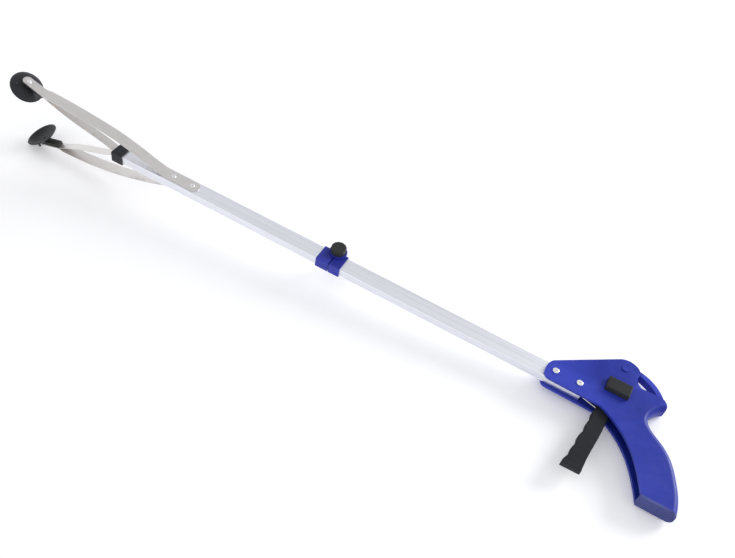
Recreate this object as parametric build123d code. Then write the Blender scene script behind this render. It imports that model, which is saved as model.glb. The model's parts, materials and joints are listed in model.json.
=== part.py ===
from build123d import *
import math
import os

# Folding reaching aid with suction-cup jaws, lying on its side.
# Working frame: +X runs from the jaws to the grip along the tube, +Y is the top of the tool
# in use, +Z is the side that faces up when it lies down. The tube axis is Y = 0, Z = 0 and
# the rear end of the tube is X = 0. The finished parts are moved so that the origin is at
# the centre of the bottom of the whole tool's box.

# ---- tube -------------------------------------------------------------------------------
TUBE_W = 18.0
TUBE_T = 10.0
TUBE_WALL = 1.0
TUBE_CORNER = 0.8
BROAD_GROOVE_YS = (-6.5, -3.9, -1.3, 1.3, 3.9, 6.5)
NARROW_GROOVE_ZS = (-1.5, 1.5)
GROOVE_W = 0.5
GROOVE_DEPTH = 0.2
FOLD_X = -277.5
FOLD_Y = 9.8
REAR_TUBE_X0 = FOLD_X + 10.5
FRONT_TUBE_X0 = -549.5
FRONT_TUBE_X1 = FOLD_X - 11.0

# ---- handle housing ---------------------------------------------------------------------
HOUSING_T = 16.4
PLATE_T = 3.0
CHANNEL_HALF = HOUSING_T / 2 - PLATE_T
BACK_ROUND = 5.5
BACK_MAX_X = 110.0
BUTT_Y = -82.2
BUTT_CAP_T = 2.5
STRAP_HALF_T = 4.5
PIVOT_X = 28.5
PIVOT_Y = 42.2
PIVOT_BOSS_R = 3.6
PIVOT_BOSS_H = 0.8
INNER_BOSS_R = 5.0
PIN_R = 2.0
FIT = 0.08
RIVET_XS = (-30.4, -5.7)
RIVET_SHANK_R = 1.6
RIVET_HEAD_R = 3.2
RIVET_HEAD_H = 1.1
RIVET_EYE_R = 0.9
TAIL_RECESS_R = 3.7
TAIL_RECESS_DEPTH = 1.3
HEAD_ROUND = 0.6

# ---- trigger ----------------------------------------------------------------------------
TRIGGER_T = 8.0
TRIGGER_HUB_R = 6.5
TRIGGER_EDGE = 0.9
RELIEF_Z = 0.4
RELIEF_Y0 = -3.0
RELIEF_Y1 = 34.0

# ---- lock button ------------------------------------------------------------------------
LOCK_X = 28.8
LOCK_Y = 14.3
LOCK_L = 23.4
LOCK_W = 13.8
LOCK_TOP = 14.3
LOCK_FOOT = 3.4
LOCK_FLANGE_T = 1.5
LOCK_FLANGE_OUT = 1.4
LOCK_GAP = 0.25
LOCK_ROUND = 0.8

# ---- pull wire --------------------------------------------------------------------------
WIRE_R = 0.75
WIRE_Y = -6.5
ANCHOR_X = 21.5
ANCHOR_Y = -12.3
BALL_R = 2.0
YOKE_X0 = -520.0
YOKE_X1 = -505.0
YOKE_HALF_Z = 2.5
YOKE_TOP_Y = 6.4
YOKE_BOTTOM_Y = -7.7
WIRE_SEAT = 6.0

# ---- fold joint -------------------------------------------------------------------------
COLLAR_HALF_Y = 10.3
COLLAR_TOP_Y = 10.2
COLLAR_HALF_Z = 6.3
COLLAR_ROUND = 1.2
REAR_COLLAR_X = (-277.2, -265.0)
FRONT_COLLAR_X = (-292.5, -278.2)
PLUG_L = 14.0
PLUG_GAP = 0.1
BOSS_R = 9.5
BOSS_HALF_Z = 7.8
CHEEK_Z = 2.5
TONGUE_HALF_Z = 2.2
TONGUE_R = 9.0
JOINT_GAP = 0.4
WIRE_SLOT_Y = -4.6
WIRE_SLOT_HALF_Z = 1.5
KNOB_R = 8.2
KNOB_SIDES = 12
KNOB_Z0 = 8.1
KNOB_Z1 = 14.2
KNOB_CHAMFER = 1.0
STUD_R = 2.0
STUD_TOP = 12.4
STUD_END = -9.2
NUT_AF = 7.0
NUT_T = 3.0

# ---- front cap --------------------------------------------------------------------------
CAP_X = (-551.5, -538.5)
CAP_WALL = 1.5
CAP_WINDOW_Y = 6.5
CAP_WINDOW_Z = 3.9
CAP_ROUND = 1.2

# ---- spring strips ----------------------------------------------------------------------
STRIP_W = 13.5
STRIP_T = 0.8
STRIP_REAR_X = -443.5
TAB_W = 10.6
TAB_SLOPE = 16.3
TAB_OVERHANG = 6.5
SHOULDER_L = 6.0
SHOULDER_STEP = 2.0
STRIP_RIVET_XS = (-476.0, -452.1)
STRIP_RIVET_R = 1.5
STRIP_RIVET_HEAD_R = 2.6
STRIP_RIVET_HEAD_H = 0.7
SMALL_EYE_R = 0.7
SMALL_EYE_DEPTH = 1.4
INNER_W = 10.2
INNER_T = 0.6
TAIL_X0 = -545.2
TAIL_X1 = -508.0
TAIL_Z = 0.9

# ---- suction cups -----------------------------------------------------------------------
CUP_R = 18.2
CUP_DEPTH = 7.6
CUP_NECK_R = 4.3
CUP_NECK_H = 1.6
CUP_HOLLOW = 5.0
HOLDER_FRONT = 5.0
HOLDER_L = 27.2
HOLDER_W = 9.0
HOLDER_T = 3.2
CUP_HOLE_R = 1.3
CUP_HOLE_DEPTH = 1.6
NUB_R = 1.3
NUB_H = 2.2
CUP_RIVET_R = 1.5
CUP_RIVET_HEAD_R = 2.6
CUP_RIVET_HEAD_H = 0.8
NECK_Z = -(STRIP_T / 2 + INNER_T + HOLDER_T)

BIG = 400.0


class Jaw:
    """Shape of one jaw: paths of its strips as (X, distance from the tube's axis), its cup."""

    def __init__(self, outer, inner, seat_x, cup_tilt, cup_roll, nub):
        self.outer = outer
        self.inner = inner
        self.seat_x = seat_x
        self.tab_end = seat_x - TAB_OVERHANG
        self.kink_x, self.kink_z = outer[-1]
        self.cup_tilt = cup_tilt
        self.cup_roll = cup_roll
        self.nub = nub

    def tab_z(self, x):
        """Height of the middle of the cup tab at x."""
        return self.kink_z + (self.kink_x - x) * math.tan(math.radians(TAB_SLOPE))

    def on_tab(self, shape):
        """Place a shape with its Z axis square to the cup tab at the cup's seat."""
        return Location((self.seat_x, 0, self.tab_z(self.seat_x)), (0, TAB_SLOPE, 0)) * shape


UPPER = Jaw(
    outer=((-486.0, 5.4), (-501.0, 9.4), (-520.0, 15.4), (-542.0, 21.4), (-578.0, 26.8),
           (-620.0, 30.4), (-648.0, 31.4)),
    inner=((-545.6, 1.1), (-552.0, 2.7), (-563.0, 6.0), (-600.0, 14.6), (-630.0, 23.4),
           (-645.0, 29.4)),
    seat_x=-667.5,
    cup_tilt=18.5,
    cup_roll=0.0,
    nub=(-8.0, -9.5),
)
LOWER = Jaw(
    outer=((-480.0, 5.4), (-492.0, 10.2), (-517.0, 18.9), (-537.0, 25.0), (-573.0, 32.8),
           (-597.0, 36.0), (-634.0, 38.2)),
    inner=((-545.6, 1.1), (-552.0, 2.9), (-563.0, 7.6), (-600.0, 21.4), (-620.0, 30.2),
           (-631.0, 35.8)),
    seat_x=-658.5,
    cup_tilt=11.5,
    cup_roll=-9.0,
    nub=(4.6, -12.5),
)


def block(x0, x1, y0, y1, z0, z1):
    """A box between two opposite corners."""
    centre = Location(((x0 + x1) / 2, (y0 + y1) / 2, (z0 + z1) / 2))
    return centre * Box(x1 - x0, y1 - y0, z1 - z0)


def rod(x, y, z0, z1, r):
    """A round bar parallel to Z."""
    return Location((x, y, (z0 + z1) / 2)) * Cylinder(r, z1 - z0)


def along_x(x0, x1, y, z, r):
    """A round bar parallel to X."""
    return Location(((x0 + x1) / 2, y, z)) * Cylinder(r, x1 - x0, rotation=(0, 90, 0))


def one(shape):
    """The single solid of a boolean result."""
    solids = shape.solids()
    return max(solids, key=lambda s: s.volume)


def tube(x0, x1, holes):
    """Rectangular aluminium tube with its rivet holes."""
    outer = block(x0, x1, -TUBE_W / 2, TUBE_W / 2, -TUBE_T / 2, TUBE_T / 2)
    outer = fillet(outer.edges().filter_by(Axis.X), TUBE_CORNER)
    bore_y = TUBE_W / 2 - TUBE_WALL
    bore_z = TUBE_T / 2 - TUBE_WALL
    body = outer - block(x0 - 1, x1 + 1, -bore_y, bore_y, -bore_z, bore_z)
    half_w = GROOVE_W / 2
    for y in BROAD_GROOVE_YS:
        for z in (-TUBE_T / 2, TUBE_T / 2):
            body = body - block(x0 - 1, x1 + 1, y - half_w, y + half_w,
                                z - GROOVE_DEPTH, z + GROOVE_DEPTH)
    for z in NARROW_GROOVE_ZS:
        for y in (-TUBE_W / 2, TUBE_W / 2):
            body = body - block(x0 - 1, x1 + 1, y - GROOVE_DEPTH, y + GROOVE_DEPTH,
                                z - half_w, z + half_w)
    for x, r in holes:
        body = body - rod(x, 0, -TUBE_T, TUBE_T, r)
    return one(body)


# ---- handle -----------------------------------------------------------------------------

def housing_outline():
    """Side outline of the housing: nose, sloping top, shoulder, spur and curved grip."""
    nose_low = (-33.5, -11.6)
    nose_front = (-39.9, -4.0)
    nose_top = (-36.4, 10.6)
    top_rear = (21.0, 51.2)
    shoulder = (39.6, 50.4)
    shoulder_rear = (43.0, 41.0)
    notch = (49.5, 28.9)
    spur_top = (68.0, 30.0)
    spur_tip = (76.8, 19.4)
    butt_back = (113.6, BUTT_Y)
    butt_front = (80.0, BUTT_Y)
    throat = (19.0, -12.4)
    edges = [
        ThreePointArc(nose_low, (-38.2, -9.3), nose_front),
        ThreePointArc(nose_front, (-39.6, 4.6), nose_top),
        Line(nose_top, top_rear),
        ThreePointArc(top_rear, (30.8, 53.6), shoulder),
        ThreePointArc(shoulder, (42.6, 46.4), shoulder_rear),
        ThreePointArc(shoulder_rear, (44.6, 32.6), notch),
        Line(notch, spur_top),
        ThreePointArc(spur_top, (75.0, 26.0), spur_tip),
        Spline(spur_tip, (67.2, 8.6), (65.0, -0.5), (71.8, -9.8), (84.2, -18.6),
               (95.2, -29.8), (103.6, -44.8), (110.2, -61.2), butt_back),
        Line(butt_back, butt_front),
        Spline(butt_front, (70.0, -60.6), (51.2, -34.0), (34.6, -20.6), throat),
        Line(throat, nose_low),
    ]
    return make_face(edges)


def strap_outline():
    """Arched strap from the shoulder to the spur, with a slim curved eye below it."""
    edges = [
        ThreePointArc((39.5, 51.0), (59.8, 44.2), (74.6, 27.5)),
        Line((74.6, 27.5), (69.5, 27.5)),
        ThreePointArc((69.5, 27.5), (57.4, 39.6), (39.5, 46.6)),
        Line((39.5, 46.6), (39.5, 51.0)),
    ]
    return make_face(edges)


def cavity_outline():
    """Room between the side plates: open at the nose, the underside and the grip's front."""
    edges = [
        Line((-60.0, 9.2), (-34.6, 9.2)),
        Line((-34.6, 9.2), (21.6, 48.6)),
        ThreePointArc((21.6, 48.6), (30.8, 50.8), (37.6, 48.0)),
        ThreePointArc((37.6, 48.0), (39.6, 45.6), (40.2, 41.0)),
        ThreePointArc((40.2, 41.0), (41.8, 31.2), (48.4, 26.2)),
        Line((48.4, 26.2), (62.0, 25.4)),
        Spline((62.0, 25.4), (61.4, 10.0), (60.6, -2.0), (68.6, -13.0), (81.6, -21.8),
               (92.0, -32.2), (100.0, -46.6), (106.4, -62.6), (110.4, -80.0)),
        Line((110.4, -80.0), (111.4, -95.0)),
        Line((111.4, -95.0), (-60.0, -95.0)),
        Line((-60.0, -95.0), (-60.0, 9.2)),
    ]
    return make_face(edges)


def housing_block():
    """Outer form of the whole grip before it is hollowed and divided."""
    body = extrude(housing_outline(), HOUSING_T / 2, both=True)
    back = []
    for edge in body.edges().filter_by(GeomType.BSPLINE):
        box = edge.bounding_box()
        if box.max.X > BACK_MAX_X and box.min.Y < BUTT_Y + 1 and box.max.Y > 0:
            back.append(edge)
    body = fillet(back, BACK_ROUND)
    strap = extrude(strap_outline(), STRAP_HALF_T, both=True)
    return body, strap


def housing_parts():
    """The two side shells and the plate that closes the butt of the grip."""
    body, strap = housing_block()
    cavity = extrude(cavity_outline(), CHANNEL_HALF, both=True)
    split_y = BUTT_Y + BUTT_CAP_T
    butt = one(body & block(0, BIG, -BIG, split_y, -BIG, BIG))
    shell = body & block(-BIG, BIG, split_y, BIG, -BIG, BIG)
    shell = shell + strap - cavity
    for side in (1, -1):
        z_plate = side * CHANNEL_HALF
        z_face = side * (TRIGGER_T / 2 + 0.3)
        low, high = sorted((z_plate, z_face))
        shell = shell + rod(PIVOT_X, PIVOT_Y, low, high, INNER_BOSS_R)
    top = HOUSING_T / 2
    shell = shell + rod(PIVOT_X, PIVOT_Y, top - 1, top + PIVOT_BOSS_H, PIVOT_BOSS_R)
    shell = shell - rod(PIVOT_X, PIVOT_Y, 1 - top, top - 1, PIN_R)
    for x in RIVET_XS:
        shell = shell - rod(x, 0, -BIG, BIG, RIVET_SHANK_R)
        shell = shell - rod(x, 0, -BIG, TAIL_RECESS_DEPTH - top, TAIL_RECESS_R)
    near = one(shell & block(-BIG, BIG, -BIG, BIG, 0, BIG))
    far = one(shell & block(-BIG, BIG, -BIG, BIG, -BIG, 0))
    half_l = LOCK_L / 2 + LOCK_GAP
    half_w = LOCK_W / 2 + LOCK_GAP
    near = one(near - block(LOCK_X - half_l, LOCK_X + half_l,
                            LOCK_Y - half_w, LOCK_Y + half_w, 0, BIG))
    return near, far, butt


def tube_rivets():
    """Two pop rivets through both side plates and the tube."""
    rivets = []
    top = HOUSING_T / 2
    for x in RIVET_XS:
        floor_z = TAIL_RECESS_DEPTH - top
        shank = rod(x, 0, floor_z, top, RIVET_SHANK_R)
        head = rod(x, 0, top, top + RIVET_HEAD_H, RIVET_HEAD_R)
        head = fillet(head.edges().group_by(Axis.Z)[-1], RIVET_HEAD_H * HEAD_ROUND)
        tail = rod(x, 0, floor_z - RIVET_HEAD_H, floor_z, RIVET_HEAD_R)
        tail = fillet(tail.edges().group_by(Axis.Z)[0], RIVET_HEAD_H * HEAD_ROUND)
        eye = rod(x, 0, top, top + RIVET_HEAD_H + 1, RIVET_EYE_R)
        rivets.append(one(shank + head + tail - eye))
    return Compound(children=rivets)


# ---- trigger and lock -------------------------------------------------------------------

def trigger():
    """Lever with a waved finger edge; its arm is thinned where the lock button faces it."""
    edges = [
        Spline((18.6, 14.0), (16.6, -4.0), (16.9, -14.0), (15.6, -20.6), (16.4, -27.4),
               (14.6, -34.6), (14.9, -43.0), (12.2, -51.6), (12.6, -60.0), (10.6, -67.2),
               (10.6, -74.0), (8.2, -80.4), (7.4, -86.0)),
        Line((7.4, -86.0), (26.4, -85.4)),
        Spline((26.4, -85.4), (27.0, -67.0), (29.6, -42.0), (31.0, -20.0), (33.0, 6.0),
               (35.0, 42.2)),
        ThreePointArc((35.0, 42.2), (PIVOT_X, PIVOT_Y + TRIGGER_HUB_R), (22.0, 42.2)),
        Line((22.0, 42.2), (18.6, 14.0)),
    ]
    half = TRIGGER_T / 2
    lever = extrude(make_face(edges), half, both=True)
    finger = lever & block(-BIG, BIG, -BIG, RELIEF_Y0, -BIG, BIG)
    rim = [e for e in finger.edges() if abs(abs(e.center().Z) - half) < 0.01
           and e.center().Y < RELIEF_Y0 - 1]
    finger = chamfer(rim, TRIGGER_EDGE)
    arm = lever & block(-BIG, BIG, RELIEF_Y0, BIG, -BIG, BIG)
    lever = finger + arm
    lever = lever - block(-BIG, BIG, RELIEF_Y0 + 0.5, RELIEF_Y1, RELIEF_Z, BIG)
    lever = lever - rod(PIVOT_X, PIVOT_Y, -BIG, BIG, PIN_R + FIT)
    pocket = block(18.8, 24.4, ANCHOR_Y - 4.5, ANCHOR_Y + 2.9, -BALL_R - 0.4, BALL_R + 0.4)
    slot = block(0, 19.4, ANCHOR_Y - 2.4, ANCHOR_Y + 3.7, -1.2, 1.2)
    lever = lever - pocket - slot
    return one(lever)


def trigger_pin():
    """Steel pin across the housing that the trigger turns on."""
    end = HOUSING_T / 2 - 1
    return rod(PIVOT_X, PIVOT_Y, -end, end, PIN_R)


def lock_button():
    """Rectangular push button through the side plate, kept in by a flange inside."""
    x0, x1 = LOCK_X - LOCK_L / 2, LOCK_X + LOCK_L / 2
    y0, y1 = LOCK_Y - LOCK_W / 2, LOCK_Y + LOCK_W / 2
    body = block(x0, x1, y0, y1, LOCK_FOOT, LOCK_TOP)
    body = fillet(body.edges().group_by(Axis.Z)[-1], LOCK_ROUND)
    out = LOCK_FLANGE_OUT
    foot = block(x0 - out, x1 + out, y0 - out, y1 + out, LOCK_FOOT, LOCK_FOOT + LOCK_FLANGE_T)
    return one(body + foot)


# ---- pull wire --------------------------------------------------------------------------

def pull_wire():
    """Wire from the yoke through both tubes to the ball held in the trigger."""
    start = YOKE_X1 - WIRE_SEAT + 0.3
    slope = math.hypot(ANCHOR_X + 2, WIRE_Y - ANCHOR_Y)
    straight = along_x(start, -2.0, WIRE_Y, 0, WIRE_R)
    mid = Location(((ANCHOR_X - 2) / 2, (WIRE_Y + ANCHOR_Y) / 2, 0))
    turn = math.degrees(math.atan2(ANCHOR_Y - WIRE_Y, ANCHOR_X + 2))
    tail = mid * Location((0, 0, 0), (0, 0, turn)) * Cylinder(WIRE_R, slope, rotation=(0, 90, 0))
    elbow = Location((-2.0, WIRE_Y, 0)) * Sphere(WIRE_R)
    return one(straight + elbow + tail - (Location((ANCHOR_X, ANCHOR_Y, 0)) * Sphere(BALL_R)))


def wire_ball():
    """Ball crimped on the end of the wire."""
    ball = Location((ANCHOR_X, ANCHOR_Y, 0)) * Sphere(BALL_R)
    return one(ball)


def draw_yoke():
    """Block inside the front tube that joins the two inner strips to the wire."""
    body = block(YOKE_X0, YOKE_X1, YOKE_BOTTOM_Y, YOKE_TOP_Y, -YOKE_HALF_Z, YOKE_HALF_Z)
    slot = block(YOKE_X0 - 1, TAIL_X1, -INNER_W / 2, INNER_W / 2,
                 -TAIL_Z - INNER_T / 2, TAIL_Z + INNER_T / 2)
    seat = along_x(YOKE_X1 - WIRE_SEAT, YOKE_X1 + 1, WIRE_Y, 0, WIRE_R + FIT)
    return one(body - slot - seat)


def strip_tails():
    """Hidden rear ends of the two inner strips, clamped in the yoke."""
    tails = []
    for side in (1, -1):
        z = side * TAIL_Z
        tails.append(block(TAIL_X0, TAIL_X1, -INNER_W / 2, INNER_W / 2,
                           z - INNER_T / 2, z + INNER_T / 2))
    return Compound(children=tails)


# ---- fold joint -------------------------------------------------------------------------

def collar_body(x0, x1):
    """Rounded rectangular sleeve round the tube."""
    body = block(x0, x1, -COLLAR_HALF_Y, COLLAR_TOP_Y, -COLLAR_HALF_Z, COLLAR_HALF_Z)
    return fillet(body.edges().filter_by(Axis.X), COLLAR_ROUND)


def collar_plug(x0, x1):
    """Spigot of a collar that fills the end of its tube."""
    half_y = TUBE_W / 2 - TUBE_WALL - PLUG_GAP
    half_z = TUBE_T / 2 - TUBE_WALL - PLUG_GAP
    return block(x0, x1, -half_y, half_y, -half_z, half_z)


def wire_way():
    """Slot for the wire through both collars and their spigots."""
    return block(FOLD_X - 60, FOLD_X + 60, -TUBE_W / 2 + TUBE_WALL, WIRE_SLOT_Y,
                 -WIRE_SLOT_HALF_Z, WIRE_SLOT_HALF_Z)


def rear_collar():
    """Collar of the rear tube with the round two-cheeked boss of the fold pivot."""
    x0, x1 = REAR_COLLAR_X
    boss = rod(FOLD_X, FOLD_Y, -BOSS_HALF_Z, BOSS_HALF_Z, BOSS_R)
    rims = boss.edges().filter_by(GeomType.CIRCLE)
    boss = fillet(rims, 0.8)
    body = collar_body(x0, x1) + boss
    body = body - block(REAR_TUBE_X0, x1 + 1, -TUBE_W / 2, TUBE_W / 2, -TUBE_T / 2, TUBE_T / 2)
    body = body + collar_plug(REAR_TUBE_X0, REAR_TUBE_X0 + PLUG_L)
    body = body - rod(FOLD_X, FOLD_Y, -CHEEK_Z, CHEEK_Z, TONGUE_R + JOINT_GAP)
    body = body - block(FOLD_X - 2 * BOSS_R, x0, -2 * BOSS_R, 3 * BOSS_R, -CHEEK_Z, CHEEK_Z)
    body = body - block(FOLD_X - 2 * BOSS_R, FOLD_X + 2 * BOSS_R, COLLAR_TOP_Y, 3 * BOSS_R,
                        -CHEEK_Z, CHEEK_Z)
    body = body - rod(FOLD_X, FOLD_Y, -BIG, BIG, STUD_R + FIT)
    body = body - knob_nut_blank(0.0)
    body = body - wire_way()
    return one(body)


def front_collar():
    """Collar of the front tube: hollowed round the boss, with a tongue between its cheeks."""
    x0, x1 = FRONT_COLLAR_X
    body = collar_body(x0, x1)
    body = body - rod(FOLD_X, FOLD_Y, -BIG, BIG, BOSS_R + JOINT_GAP)
    body = body - block(x0 - 1, FRONT_TUBE_X1, -TUBE_W / 2, TUBE_W / 2, -TUBE_T / 2, TUBE_T / 2)
    body = body + collar_plug(FRONT_TUBE_X1 - PLUG_L, FRONT_TUBE_X1)
    web = block(FOLD_X - 11.0, FOLD_X - 0.7, 0.0, FOLD_Y + 0.4,
                -TONGUE_HALF_Z, TONGUE_HALF_Z)
    tongue = rod(FOLD_X, FOLD_Y, -TONGUE_HALF_Z, TONGUE_HALF_Z, TONGUE_R)
    body = body + web + tongue
    body = body - rod(FOLD_X, FOLD_Y, -BIG, BIG, STUD_R + FIT)
    body = body - wire_way()
    return one(body)


def knob():
    """Clamping knob with many shallow flats round its edge."""
    outline = RegularPolygon(KNOB_R, KNOB_SIDES)
    body = extrude(outline, KNOB_Z1 - KNOB_Z0)
    body = chamfer(body.edges().group_by(Axis.Z)[-1], KNOB_CHAMFER)
    body = Location((FOLD_X, FOLD_Y, KNOB_Z0)) * body
    return one(body - rod(FOLD_X, FOLD_Y, 0, STUD_TOP, STUD_R))


def knob_stud():
    """Threaded stud moulded into the knob; it is also the pivot of the fold."""
    return rod(FOLD_X, FOLD_Y, STUD_END, STUD_TOP, STUD_R)


def knob_nut_blank(grow):
    """Hexagon of the captive nut, as wide as its pocket."""
    across = NUT_AF / math.sqrt(3) + grow
    blank = extrude(RegularPolygon(across, 6), NUT_T)
    return Location((FOLD_X, FOLD_Y, -BOSS_HALF_Z)) * blank


def knob_nut():
    """Captive nut in the far cheek of the boss."""
    return one(knob_nut_blank(0.0) - rod(FOLD_X, FOLD_Y, -BIG, BIG, STUD_R + FIT))


# ---- jaws -------------------------------------------------------------------------------

def front_cap():
    """Plastic cap on the mouth of the front tube with the window for the inner strips."""
    x0, x1 = CAP_X
    half_y = TUBE_W / 2 + CAP_WALL
    half_z = TUBE_T / 2 + CAP_WALL
    body = block(x0, x1, -half_y, half_y, -half_z, half_z)
    body = fillet(body.edges().filter_by(Axis.X), CAP_ROUND)
    body = body - block(FRONT_TUBE_X0, x1 + 1, -TUBE_W / 2, TUBE_W / 2, -TUBE_T / 2, TUBE_T / 2)
    window = block(x0 - 1, FRONT_TUBE_X0 + 1, -CAP_WINDOW_Y, CAP_WINDOW_Y,
                   -CAP_WINDOW_Z, CAP_WINDOW_Z)
    return one(body - window)


def ribbon(path, thickness, width):
    """A strip that follows a curve in the XZ plane, as wide as asked in Y."""
    low = [(x, z - thickness / 2) for x, z in path]
    high = [(x, z + thickness / 2) for x, z in path]
    edges = [
        Spline(*low),
        Line(low[-1], high[-1]),
        Spline(*high),
        Line(high[0], low[0]),
    ]
    face = make_face([Plane.XZ * e for e in edges])
    return extrude(face, width / 2, both=True)


def slab(x0, z0, x1, z1, thickness, width):
    """A flat strip between two points of the XZ plane."""
    half = thickness / 2
    corners = [(x0, z0 - half), (x1, z1 - half), (x1, z1 + half), (x0, z0 + half)]
    face = make_face(Plane.XZ * Polyline(*corners, close=True))
    return extrude(face, width / 2, both=True)


def strip_plan(jaw):
    """Plan outline of an outer strip: rounded rear end, straight sides, narrow tab."""
    half = STRIP_W / 2
    tab = TAB_W / 2
    rear = STRIP_REAR_X
    shoulder = jaw.kink_x + SHOULDER_L
    step = jaw.kink_x - SHOULDER_STEP
    tip = jaw.tab_end
    neck = tip + TAB_W / 3
    edges = [
        Line((rear - half, half), (shoulder, half)),
        Line((shoulder, half), (step, tab)),
        Line((step, tab), (neck, tab)),
        ThreePointArc((neck, tab), (tip, 0), (neck, -tab)),
        Line((neck, -tab), (step, -tab)),
        Line((step, -tab), (shoulder, -half)),
        Line((shoulder, -half), (rear - half, -half)),
        ThreePointArc((rear - half, -half), (rear, 0), (rear - half, half)),
    ]
    return make_face(edges)


def outer_blank(jaw):
    """Outer strip as a plain wide ribbon, before it is trimmed to its plan outline."""
    start_x, start_z = jaw.outer[0]
    seat = slab(start_x, start_z, STRIP_REAR_X + 1, start_z, STRIP_T, STRIP_W + 2)
    bow = ribbon(jaw.outer, STRIP_T, STRIP_W + 2)
    tip = jaw.tab_end - 2
    tab = slab(tip, jaw.tab_z(tip), jaw.kink_x, jaw.kink_z, STRIP_T, STRIP_W + 2)
    return seat + bow + tab


def outer_strip(jaw):
    """Spring-steel jaw strip, flat on the tube at its rear and bowed out to its cup tab."""
    whole = outer_blank(jaw) & extrude(strip_plan(jaw), BIG / 2, both=True)
    for x in STRIP_RIVET_XS:
        whole = whole - rod(x, 0, 0, 2 * jaw.outer[0][1], STRIP_RIVET_R + FIT)
    whole = whole - jaw.on_tab(Cylinder(CUP_RIVET_R, 8 * STRIP_T))
    return one(whole)


def inner_blank(jaw, thickness, width):
    """Inner strip as a plain ribbon that runs on under the cup tab."""
    offset = (STRIP_T + INNER_T) / 2 / math.cos(math.radians(TAB_SLOPE))
    join = jaw.kink_x - 1
    tip = jaw.tab_end + TAB_W / 3
    bow = ribbon(jaw.inner + ((join, jaw.tab_z(join) - offset),), thickness, width)
    tab = slab(tip, jaw.tab_z(tip) - offset, join, jaw.tab_z(join) - offset,
               thickness / math.cos(math.radians(TAB_SLOPE)), width)
    return bow + tab


def inner_strip(jaw):
    """Narrow strip from the tube's mouth to the cup tab, lying under the outer strip there."""
    whole = inner_blank(jaw, INNER_T, INNER_W) - outer_blank(jaw)
    whole = whole - jaw.on_tab(Cylinder(CUP_RIVET_R, 8 * STRIP_T))
    return one(whole)


def holder_block():
    """Plain block of the cup holder, in the axes of the tab."""
    centre = Location((HOLDER_L / 2 - HOLDER_FRONT, 0, NECK_Z + HOLDER_T / 2))
    body = centre * Box(HOLDER_L, HOLDER_W, HOLDER_T)
    return fillet(body.edges().filter_by(Axis.Z), 1.0)


def cup_holder(jaw):
    """Plastic block under the tab that carries the cup and reaches back along the strip."""
    body = jaw.on_tab(holder_block())
    body = body - outer_blank(jaw) - inner_blank(jaw, INNER_T + 0.4, INNER_W + 4)
    body = body - jaw.on_tab(Cylinder(CUP_RIVET_R, BIG / 10))
    return one(body)


def cup_profile():
    """Half section of the cup about its own axis, from its neck down to its lip."""
    r = CUP_R
    rim = -CUP_DEPTH
    roof = rim + CUP_HOLLOW
    edges = [
        Line((0, HOLDER_T), (CUP_NECK_R, HOLDER_T)),
        Line((CUP_NECK_R, HOLDER_T), (CUP_NECK_R, -CUP_NECK_H)),
        Spline((CUP_NECK_R, -CUP_NECK_H), (0.62 * r, -0.36 * CUP_DEPTH),
               (0.86 * r, -0.64 * CUP_DEPTH), (r - 0.2, rim + 0.9)),
        Line((r - 0.2, rim + 0.9), (r, rim)),
        Line((r, rim), (r - 1.2, rim)),
        ThreePointArc((r - 1.2, rim), (0.62 * r, rim + 0.68 * CUP_HOLLOW), (0, roof)),
        Line((0, roof), (0, HOLDER_T)),
    ]
    return make_face([Plane.XZ * e for e in edges])


def cup(jaw):
    """Rubber suction cup, tilted on its neck, with a centre hole and a moulding nub."""
    body = revolve(cup_profile(), Axis.Z, 360)
    roof = CUP_HOLLOW - CUP_DEPTH
    body = body - Location((0, 0, roof)) * Cylinder(CUP_HOLE_R, 2 * CUP_HOLE_DEPTH)
    x, y = jaw.nub
    nub = Location((x, y, -0.42 * CUP_DEPTH)) * Cylinder(NUB_R, 2 * NUB_H)
    hollow = Location((0, 0, -CUP_DEPTH)) * Cylinder(CUP_R, CUP_DEPTH)
    body = body + (nub - hollow)
    body = Location((0, 0, NECK_Z), (jaw.cup_roll, jaw.cup_tilt, 0)) * body
    return one(jaw.on_tab(body - holder_block()))


def cup_rivet(jaw):
    """Rivet through the tab, the inner strip and the holder."""
    top = STRIP_T / 2
    shank = Location((0, 0, (top + NECK_Z) / 2)) * Cylinder(CUP_RIVET_R, top - NECK_Z)
    head = Location((0, 0, top + CUP_RIVET_HEAD_H / 2))
    head = head * Cylinder(CUP_RIVET_HEAD_R, CUP_RIVET_HEAD_H)
    head = fillet(head.edges().group_by(Axis.Z)[-1], CUP_RIVET_HEAD_H * HEAD_ROUND)
    eye = Location((0, 0, top + CUP_RIVET_HEAD_H)) * Cylinder(SMALL_EYE_R, 2 * SMALL_EYE_DEPTH)
    return one(jaw.on_tab(shank + head - eye))


def strip_rivets():
    """Four short rivets that hold the two outer strips on the tube's broad faces."""
    face = TUBE_T / 2 + STRIP_T
    rivets = []
    for side in (1, -1):
        for x in STRIP_RIVET_XS:
            shank = rod(x, 0, TUBE_T / 2 - TUBE_WALL, face, STRIP_RIVET_R)
            head = rod(x, 0, face, face + STRIP_RIVET_HEAD_H, STRIP_RIVET_HEAD_R)
            head = fillet(head.edges().group_by(Axis.Z)[-1], STRIP_RIVET_HEAD_H * HEAD_ROUND)
            bulb = rod(x, 0, TUBE_T / 2 - TUBE_WALL - 1.4, TUBE_T / 2 - TUBE_WALL,
                       STRIP_RIVET_R + 0.6)
            eye = rod(x, 0, face + STRIP_RIVET_HEAD_H - SMALL_EYE_DEPTH, 2 * face, SMALL_EYE_R)
            rivet = one(shank + head + bulb - eye)
            rivets.append(rivet if side > 0 else mirror(rivet, Plane.XY))
    return Compound(children=rivets)


def below(shape):
    """Mirror image of a jaw part, for the side that faces down."""
    return one(mirror(shape, Plane.XY))


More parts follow.
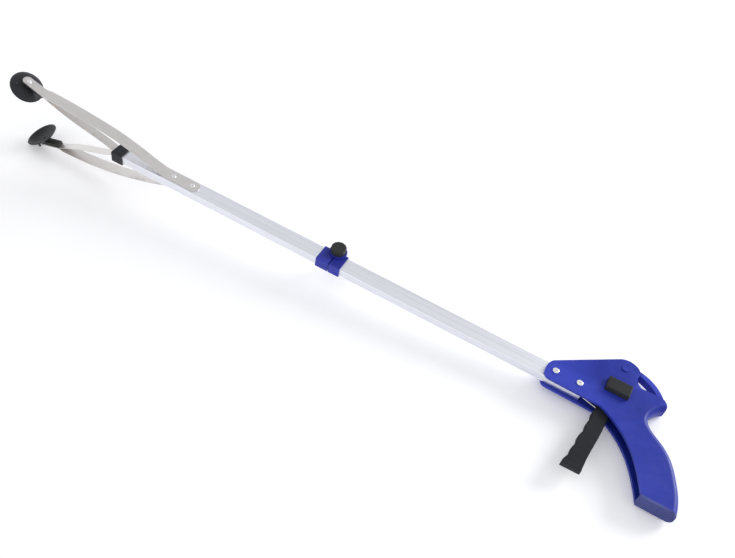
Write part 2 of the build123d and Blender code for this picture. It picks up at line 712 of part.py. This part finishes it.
def all_parts():
    """Every node of the tool, by name."""
    near, far, butt = housing_parts()
    rear_holes = [(x, RIVET_SHANK_R) for x in RIVET_XS]
    front_holes = [(x, STRIP_RIVET_R) for x in STRIP_RIVET_XS]
    parts = {
        "rear_tube": tube(REAR_TUBE_X0, 0.0, rear_holes),
        "front_tube": tube(FRONT_TUBE_X0, FRONT_TUBE_X1, front_holes),
        "handle_shell_near": near,
        "handle_shell_far": far,
        "grip_end_plate": butt,
        "handle_rivets": tube_rivets(),
        "trigger": trigger(),
        "trigger_pin": trigger_pin(),
        "lock_button": lock_button(),
        "pull_wire": pull_wire(),
        "wire_ball": wire_ball(),
        "draw_yoke": draw_yoke(),
        "inner_strip_tails": strip_tails(),
        "rear_collar": rear_collar(),
        "front_collar": front_collar(),
        "clamp_knob": knob(),
        "clamp_stud": knob_stud(),
        "clamp_nut": knob_nut(),
        "front_cap": front_cap(),
        "strip_rivets": strip_rivets(),
    }
    makers = {
        "outer_strip": outer_strip,
        "inner_strip": inner_strip,
        "cup_holder": cup_holder,
        "suction_cup": cup,
        "cup_rivet": cup_rivet,
    }
    for name, make in makers.items():
        parts[name + "_upper"] = make(UPPER)
        parts[name + "_lower"] = below(make(LOWER))
    return parts


def main():
    """Move the finished parts to the stored origin and write one file for each."""
    parts = all_parts()
    boxes = [shape.bounding_box() for shape in parts.values()]
    mid_x = (min(b.min.X for b in boxes) + max(b.max.X for b in boxes)) / 2
    mid_y = (min(b.min.Y for b in boxes) + max(b.max.Y for b in boxes)) / 2
    low_z = min(b.min.Z for b in boxes)
    print("origin in the working frame:", round(mid_x, 4), round(mid_y, 4), round(low_z, 4))
    os.makedirs("parts", exist_ok=True)
    for name, shape in parts.items():
        placed = Location((-mid_x, -mid_y, -low_z)) * shape
        export_step(placed, os.path.join("parts", name + ".step"))


main()
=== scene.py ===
import json
import math

import bmesh
import bpy
from mathutils import Matrix, Vector


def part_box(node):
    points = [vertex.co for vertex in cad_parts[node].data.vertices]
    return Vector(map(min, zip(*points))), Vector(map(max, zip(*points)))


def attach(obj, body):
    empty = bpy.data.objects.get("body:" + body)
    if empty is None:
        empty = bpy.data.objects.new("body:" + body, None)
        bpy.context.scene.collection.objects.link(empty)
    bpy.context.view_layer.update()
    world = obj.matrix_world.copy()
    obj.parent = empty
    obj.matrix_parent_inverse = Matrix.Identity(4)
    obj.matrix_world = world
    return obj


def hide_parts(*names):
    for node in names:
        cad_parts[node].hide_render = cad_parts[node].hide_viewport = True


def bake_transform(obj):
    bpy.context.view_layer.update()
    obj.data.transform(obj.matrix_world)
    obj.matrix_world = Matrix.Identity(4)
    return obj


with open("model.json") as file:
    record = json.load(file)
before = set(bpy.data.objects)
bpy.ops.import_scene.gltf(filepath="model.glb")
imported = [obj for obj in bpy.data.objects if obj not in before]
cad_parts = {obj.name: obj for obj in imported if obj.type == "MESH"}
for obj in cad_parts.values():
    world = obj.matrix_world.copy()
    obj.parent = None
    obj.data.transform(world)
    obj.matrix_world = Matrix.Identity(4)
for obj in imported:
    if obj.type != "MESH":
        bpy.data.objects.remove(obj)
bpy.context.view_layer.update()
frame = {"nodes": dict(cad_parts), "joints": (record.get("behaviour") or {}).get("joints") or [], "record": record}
NODES = frame["nodes"]
SLOT_OF = {entry["node"]: entry["material_slot"] for entry in frame["record"]["subparts"]}

# The working origin of the tool: rear end of the rear tube, on its axis.
tube_low, tube_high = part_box("rear_tube")
ORIGIN = Vector((tube_high.x, (tube_low.y + tube_high.y) / 2, (tube_low.z + tube_high.z) / 2))


# Stretches over which the strips bend, in millimetres along the tool: the outer ones from the
# place where they leave the tube, the inner ones from the tube's rear end.
OUTER_BEND = (4, -70)
INNER_BEND = (-546.0, -600.0)
STRIP_CUTS = 24

# The pull wire, in metres: half of the length that is modelled at the fold, how near to the fold
# the straight lengths begin, and how far inside the yoke and the grip they end.
FOLD_WIRE_HALF = 0.07
STRAIGHT_WIRE_GAP = 0.04
WIRE_INSET = 0.004
WIRE_RINGS_AT_FOLD = 168

# Light of the studio.
HORIZON_STRENGTH = 1.22
OVERHEAD_STRENGTH = 0.74
SKY_FADE = (0.15, 0.70)
KEY_PLACE = (1.3, 1.3, 0.85)
KEY_POWER = 28

FLOOR_SIDE = 12.0
FLOOR_GAP = 0.0002

SENSOR_WIDTH = 36.0
LENS = 821.84 / 735 * SENSOR_WIDTH


def at(x, y, z):
    """Point given in millimetres from the tube's rear end, as a row-frame point in metres."""
    return ORIGIN + Vector((x, y, z)) * 0.001


# ---- materials --------------------------------------------------------------------------

class Shader:
    """A Principled material whose detail comes from object-space noise."""

    def __init__(self, name, **constants):
        self.material = bpy.data.materials.new(name)
        self.material.use_nodes = True
        self.tree = self.material.node_tree
        self.tree.nodes.clear()
        out = self.tree.nodes.new("ShaderNodeOutputMaterial")
        self.bsdf = self.tree.nodes.new("ShaderNodeBsdfPrincipled")
        self.tree.links.new(self.bsdf.outputs["BSDF"], out.inputs["Surface"])
        for socket, value in constants.items():
            self.bsdf.inputs[socket.replace("_", " ")].default_value = value
        self.coords = self.tree.nodes.new("ShaderNodeTexCoord")

    def node(self, kind, **settings):
        made = self.tree.nodes.new(kind)
        for key, value in settings.items():
            setattr(made, key, value)
        return made

    def link(self, source, target):
        self.tree.links.new(source, target)

    def stretched(self, scale):
        mapping = self.node("ShaderNodeMapping")
        mapping.inputs["Scale"].default_value = scale
        self.link(self.coords.outputs["Object"], mapping.inputs["Vector"])
        return mapping.outputs["Vector"]

    def noise(self, scale, detail=4.0, rough=0.55, stretch=(1, 1, 1)):
        made = self.node("ShaderNodeTexNoise")
        made.inputs["Scale"].default_value = scale
        made.inputs["Detail"].default_value = detail
        made.inputs["Roughness"].default_value = rough
        self.link(self.stretched(stretch), made.inputs["Vector"])
        return made.outputs["Fac"]

    def waves(self, scale):
        """Slightly wandering bands across the thickness of the tool."""
        made = self.node("ShaderNodeTexWave", bands_direction="Z")
        made.inputs["Scale"].default_value = scale
        made.inputs["Distortion"].default_value = 2.5
        made.inputs["Detail"].default_value = 2.0
        self.link(self.stretched((0.5, 1, 1)), made.inputs["Vector"])
        return made.outputs["Fac"]

    def remap(self, value, low, high, from_low=0.3, from_high=0.7):
        made = self.node("ShaderNodeMapRange")
        made.inputs["From Min"].default_value = from_low
        made.inputs["From Max"].default_value = from_high
        made.inputs["To Min"].default_value = low
        made.inputs["To Max"].default_value = high
        self.link(value, made.inputs["Value"])
        return made.outputs["Result"]

    def mix(self, factor, a, b):
        made = self.node("ShaderNodeMix", data_type="RGBA")
        self.link(factor, made.inputs[0])
        for socket, colour in ((6, a), (7, b)):
            if hasattr(colour, "links"):
                self.link(colour, made.inputs[socket])
            else:
                made.inputs[socket].default_value = (*colour, 1)
        return made.outputs[2]

    def colour(self, value):
        self.link(value, self.bsdf.inputs["Base Color"])

    def rough(self, value):
        self.link(value, self.bsdf.inputs["Roughness"])

    def bump(self, heights, distance):
        """Stack several height fields, each with its own strength."""
        previous = None
        for height, strength in heights:
            made = self.node("ShaderNodeBump")
            made.inputs["Strength"].default_value = strength
            made.inputs["Distance"].default_value = distance
            self.link(height, made.inputs["Height"])
            if previous is not None:
                self.link(previous, made.inputs["Normal"])
            previous = made.outputs["Normal"]
        self.link(previous, self.bsdf.inputs["Normal"])

    def edge_wear(self):
        """0 on flat areas and 1 on worn outer edges."""
        geometry = self.node("ShaderNodeNewGeometry")
        return self.remap(geometry.outputs["Pointiness"], 0, 1, 0.52, 0.62)

    def hole_shade_mask(self):
        """0 on flat areas and 1 at the bottom of small holes, where shade is painted in."""
        geometry = self.node("ShaderNodeNewGeometry")
        return self.remap(geometry.outputs["Pointiness"], 1, 0, 0.36, 0.47)


def plastic(name, deep, light, rough=(0.32, 0.46), grain=900, bump=0.12, specular=0.4, ribs=0):
    """Moulded plastic: faint clouding, fine grain, lighter worn edges, and ribs if asked."""
    s = Shader(name, IOR=1.48, Specular_IOR_Level=specular)
    cloud = s.noise(28, 3)
    fine = s.noise(grain, 2)
    base = s.mix(s.remap(cloud, 0, 1), deep, light)
    worn = tuple(min(1.0, c * 1.35 + 0.012) for c in light)
    s.colour(s.mix(s.edge_wear(), base, worn))
    s.rough(s.remap(s.noise(120, 4), *rough))
    heights = [(fine, bump), (s.noise(160, 2), bump * 0.3)]
    if ribs:
        heights.append((s.remap(s.waves(ribs), 0, ribs * 0.10, 0, 1), 1.0))
    s.bump(heights, 0.00008)
    return s.material


def brushed(name, dark, light, rough=(0.28, 0.42), metallic=1.0, along=(6, 900, 900), bump=0.10,
            painted_hole_shade=False):
    """Metal with fine lines along X and broad soft variation, and shade painted into small holes if asked."""
    s = Shader(name, Metallic=metallic, IOR=1.5)
    lines = s.noise(1.0, 5, 0.6, along)
    broad = s.noise(14, 3)
    base = s.mix(s.remap(lines, 0, 1), dark, light)
    toned = s.mix(s.remap(broad, 0, 0.35), base, tuple(c * 0.93 for c in light))
    # Painted shade: if asked, the bottoms of small holes such as a rivet's eye are darkened in the colour.
    s.colour(s.mix(s.hole_shade_mask(), toned, tuple(c * 0.12 for c in dark)) if painted_hole_shade else toned)
    s.rough(s.remap(lines, *rough))
    s.bump(((lines, bump),), 0.00004)
    return s.material


def build_materials():
    """One material for each slot of the record."""
    return {
        "aluminium_tube": brushed("aluminium", (0.80, 0.81, 0.86), (0.93, 0.94, 0.99),
                                  (0.30, 0.42)),
        "blue_plastic": plastic("blue_shell", (0.011, 0.022, 0.250), (0.015, 0.029, 0.300),
                                (0.30, 0.42), specular=0.20),
        "blue_plastic_butt": plastic("blue_butt", (0.020, 0.028, 0.125), (0.036, 0.045, 0.175),
                                     (0.5, 0.65), 500, 0.35, specular=0.2, ribs=100),
        "collar_plastic": plastic("blue_collar", (0.010, 0.016, 0.200), (0.015, 0.022, 0.260),
                                  (0.30, 0.42), specular=0.26),
        "black_plastic": plastic("charcoal", (0.007, 0.009, 0.011), (0.011, 0.013, 0.016),
                                 (0.5, 0.66), 700, 0.3, specular=0.10),
        "black_button_plastic": plastic("button", (0.012, 0.013, 0.015), (0.018, 0.019, 0.021),
                                        (0.46, 0.6), 700, 0.25, specular=0.18),
        "knob_plastic": plastic("knob", (0.010, 0.011, 0.011), (0.018, 0.018, 0.017),
                                (0.28, 0.42), 800, 0.2, specular=0.20),
        "cap_plastic": plastic("cap", (0.006, 0.007, 0.009), (0.011, 0.012, 0.015),
                               (0.24, 0.36), 800, 0.15, specular=0.15),
        "holder_plastic": plastic("holder", (0.006, 0.007, 0.006), (0.012, 0.012, 0.010),
                                  (0.3, 0.45), 800, 0.2, specular=0.3),
        "cup_rubber": plastic("rubber", (0.010, 0.011, 0.013), (0.018, 0.020, 0.024),
                              (0.42, 0.58), 600, 0.3, specular=0.34),
        "spring_steel": brushed("strip_steel", (0.62, 0.59, 0.57), (0.76, 0.74, 0.72),
                                (0.30, 0.42)),
        # The rivet gets painted shade in its eye hole.
        "rivet_steel": brushed("rivet", (0.85, 0.85, 0.85), (0.97, 0.97, 0.97), (0.22, 0.32),
                               along=(300, 300, 300), painted_hole_shade=True),
        "wire_steel": brushed("wire", (0.55, 0.55, 0.56), (0.75, 0.75, 0.76), (0.25, 0.35)),
    }


MATERIALS = build_materials()


def dress(obj, material):
    """Put one material on every slot of an object."""
    obj.data.materials.clear()
    obj.data.materials.append(material)


def soften(obj, width=0.00035, segments=2, angle=35):
    """Small rounded edges, with smooth shading between them."""
    bevel = obj.modifiers.new("soft_edges", "BEVEL")
    bevel.width = width
    bevel.segments = segments
    bevel.limit_method = "ANGLE"
    bevel.angle_limit = math.radians(angle)


for node_name, node in NODES.items():
    dress(node, MATERIALS[SLOT_OF[node_name]])


# ---- spring strips and wire, with extra cuts and rings where they bend -------------------

def cut_up(node_name, new_name, stations):
    """Copy of a CAD strip with extra cross cuts along X, so that it can bend."""
    mesh = NODES[node_name].data.copy()
    bm = bmesh.new()
    bm.from_mesh(mesh)
    bmesh.ops.remove_doubles(bm, verts=bm.verts, dist=1e-6)
    for x in stations:
        everything = bm.verts[:] + bm.edges[:] + bm.faces[:]
        bmesh.ops.bisect_plane(bm, geom=everything, plane_co=(x, 0, 0), plane_no=(1, 0, 0))
    bm.to_mesh(mesh)
    bm.free()
    mesh.name = new_name
    obj = bpy.data.objects.new(new_name, mesh)
    bpy.context.scene.collection.objects.link(obj)
    mesh.shade_smooth()
    mesh.set_sharp_from_angle(angle=math.radians(30))
    dress(obj, MATERIALS[SLOT_OF[node_name]])
    return obj


def spaced(start, end, count):
    """Evenly spaced values from start to end, both included."""
    return [start + (end - start) * i / count for i in range(count + 1)]


def bending_strip(kind, side, root_x, end_x):
    """A jaw strip, copied with cross cuts from its root to its end, in place of the CAD strip."""
    node_name = f"{kind}_{side}"
    root = at(root_x, 0, 0)
    end = at(end_x, 0, 0)
    obj = cut_up(node_name, f"{kind}_{side}_flexing", spaced(root.x, end.x, STRIP_CUTS))
    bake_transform(obj)
    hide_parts(node_name)
    soften(obj, 0.00012, 2, 40)


HINGE_X = {joint["child"]: joint["pos_m"][0] for joint in frame["joints"] if "pos_m" in joint}
for jaw in ("upper", "lower"):
    root_mm = (HINGE_X[f"jaw_{jaw}"] - ORIGIN.x) * 1000
    bending_strip("outer_strip", jaw, root_mm + OUTER_BEND[0], root_mm + OUTER_BEND[1])
    bending_strip("inner_strip", jaw, *INNER_BEND)


def tube_mesh(name, points, radius, sides=12):
    """Closed round bar through a list of points."""
    bm = bmesh.new()
    rings = []
    for index, point in enumerate(points):
        before = points[max(index - 1, 0)]
        after = points[min(index + 1, len(points) - 1)]
        turn = (after - before).to_track_quat("Z", "Y")
        ring = []
        for step in range(sides):
            angle = 2 * math.pi * step / sides
            offset = turn @ Vector((math.cos(angle) * radius, math.sin(angle) * radius, 0))
            ring.append(bm.verts.new(point + offset))
        rings.append(ring)
    for first, second in zip(rings, rings[1:]):
        for step in range(sides):
            after = (step + 1) % sides
            bm.faces.new((first[step], first[after], second[after], second[step]))
    bm.faces.new(rings[0][::-1])
    bm.faces.new(rings[-1])
    bmesh.ops.recalc_face_normals(bm, faces=bm.faces)
    mesh = bpy.data.meshes.new(name)
    bm.to_mesh(mesh)
    bm.free()
    mesh.shade_smooth()
    mesh.set_sharp_from_angle(angle=math.radians(50))
    obj = bpy.data.objects.new(name, mesh)
    bpy.context.scene.collection.objects.link(obj)
    dress(obj, MATERIALS["wire_steel"])
    return obj


def wires():
    """Pull wire in three lengths: in the grip, with the yoke, and a finely ringed length at the fold."""
    ball_low, ball_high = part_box("wire_ball")
    _, yoke_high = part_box("draw_yoke")
    wire_low, wire_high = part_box("pull_wire")
    ball = (ball_low + ball_high) / 2
    radius = (wire_high.z - wire_low.z) / 2
    line_y = wire_high.y - radius
    z = ball.z
    fold_x = HINGE_X["front"]
    rear = [Vector((x, line_y, z)) for x in
            spaced(fold_x + STRAIGHT_WIRE_GAP, ORIGIN.x - WIRE_INSET, 6)]
    rear += [Vector((ORIGIN.x + 0.001, line_y - 0.0004, z)), ball]
    middle = [Vector((x, line_y, z)) for x in
              spaced(fold_x - FOLD_WIRE_HALF, fold_x + FOLD_WIRE_HALF, WIRE_RINGS_AT_FOLD)]
    front = [Vector((x, line_y, z)) for x in
             spaced(yoke_high.x - WIRE_INSET, fold_x - STRAIGHT_WIRE_GAP, 6)]
    rear_wire = tube_mesh("pull_wire_rear", rear, radius)
    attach(rear_wire, "wire")
    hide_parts("pull_wire")
    front_wire = tube_mesh("pull_wire_front", front, radius)
    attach(front_wire, "draw")
    middle_wire = tube_mesh("pull_wire_at_fold", middle, radius * 0.96)
    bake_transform(middle_wire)


wires()

# Soft moulded edges on the carried-over parts.
for node_name, width in (("handle_shell_near", 0.0007), ("handle_shell_far", 0.0007),
                         ("grip_end_plate", 0.0004), ("trigger", 0.0006), ("lock_button", 0.0004),
                         ("rear_collar", 0.0005), ("front_collar", 0.0005), ("front_cap", 0.0005),
                         ("clamp_knob", 0.0004), ("cup_holder_upper", 0.0004),
                         ("cup_holder_lower", 0.0004), ("front_tube", 0.00012),
                         ("rear_tube", 0.00012)):
    soften(NODES[node_name], width, 3)


# ---- floor, light and camera ------------------------------------------------------------

def plane_through(a, b, c):
    """Point and upward normal of the plane through three points."""
    normal = (b - a).cross(c - a).normalized()
    if normal.z < 0:
        normal = -normal
    return a, normal


def floor():
    """Pale floor, sloped like the three points that the tool rests on, just below it."""
    jaw_low, jaw_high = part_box("outer_strip_lower")
    shell_low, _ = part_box("handle_shell_far")
    butt_low, butt_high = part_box("grip_end_plate")
    tip = Vector((jaw_low.x, (jaw_low.y + jaw_high.y) / 2, jaw_low.z))
    top = Vector((at(28.5, 0, 0).x, at(0, 42.2, 0).y, shell_low.z))
    butt = Vector((butt_high.x, butt_low.y, butt_low.z))
    point, normal = plane_through(tip, top, butt)
    depth = min((node.matrix_world @ vertex.co - point).dot(normal)
                for node in NODES.values() for vertex in node.data.vertices)
    bm = bmesh.new()
    turn = normal.to_track_quat("Z", "Y").to_matrix().to_4x4()
    bmesh.ops.create_grid(bm, x_segments=8, y_segments=8, size=FLOOR_SIDE,
                          matrix=Matrix.Translation(point + normal * (depth - FLOOR_GAP)) @ turn)
    mesh = bpy.data.meshes.new("floor")
    bm.to_mesh(mesh)
    bm.free()
    obj = bpy.data.objects.new("floor", mesh)
    bpy.context.scene.collection.objects.link(obj)
    s = Shader("floor_paper", Roughness=0.9, Emission_Color=(1, 1, 1, 1),
               Emission_Strength=0.14)
    s.colour(s.mix(s.remap(s.noise(3, 2), 0, 1), (0.90, 0.90, 0.91), (0.92, 0.92, 0.93)))
    dress(obj, s.material)


def area(name, place, aim, size, power):
    """Round soft light at a place, turned towards a point."""
    data = bpy.data.lights.new(name, "AREA")
    data.shape = "DISK"
    data.size = size
    data.energy = power
    obj = bpy.data.objects.new(name, data)
    obj.location = place
    obj.rotation_euler = (Vector(aim) - Vector(place)).to_track_quat("-Z", "Y").to_euler()
    bpy.context.scene.collection.objects.link(obj)


def light():
    """Even white studio: brighter near the horizon than overhead, and one soft key light."""
    world = bpy.data.worlds.new("studio")
    world.use_nodes = True
    tree = world.node_tree
    shade = tree.nodes["Background"]
    shade.inputs["Color"].default_value = (0.97, 0.975, 1.0, 1)
    coords = tree.nodes.new("ShaderNodeTexCoord")
    split = tree.nodes.new("ShaderNodeSeparateXYZ")
    ramp = tree.nodes.new("ShaderNodeMapRange")
    ramp.interpolation_type = "SMOOTHSTEP"
    ramp.inputs["From Min"].default_value, ramp.inputs["From Max"].default_value = SKY_FADE
    ramp.inputs["To Min"].default_value = HORIZON_STRENGTH
    ramp.inputs["To Max"].default_value = OVERHEAD_STRENGTH
    tree.links.new(coords.outputs["Generated"], split.inputs["Vector"])
    tree.links.new(split.outputs["Z"], ramp.inputs["Value"])
    tree.links.new(ramp.outputs["Result"], shade.inputs["Strength"])
    bpy.context.scene.world = world
    area("key", KEY_PLACE, (0.2, 0, 0), 1.0, KEY_POWER)
    bpy.context.scene.view_settings.view_transform = "Standard"


def camera():
    """Camera above the near side of the tool; its axes are right, down and forward."""
    right = Vector((0.8696990413905313, 0.47145077011337355, 0.1461429052807485))
    down = Vector((0.447509920518029, -0.62825305902539, -0.6364220021834469))
    forward = Vector((-0.20822691574899313, 0.618896005145248, -0.7573699798466499))
    data = bpy.data.cameras.new("camera")
    data.sensor_width = SENSOR_WIDTH
    data.lens = LENS
    data.clip_start = 0.01
    data.clip_end = 60
    obj = bpy.data.objects.new("camera", data)
    turn = Matrix((right, -down, -forward)).transposed().to_4x4()
    obj.matrix_world = Matrix.Translation(at(-62.8015, -516.8576, 633.7075)) @ turn
    bpy.context.scene.collection.objects.link(obj)
    bpy.context.scene.camera = obj


floor()
light()
camera()
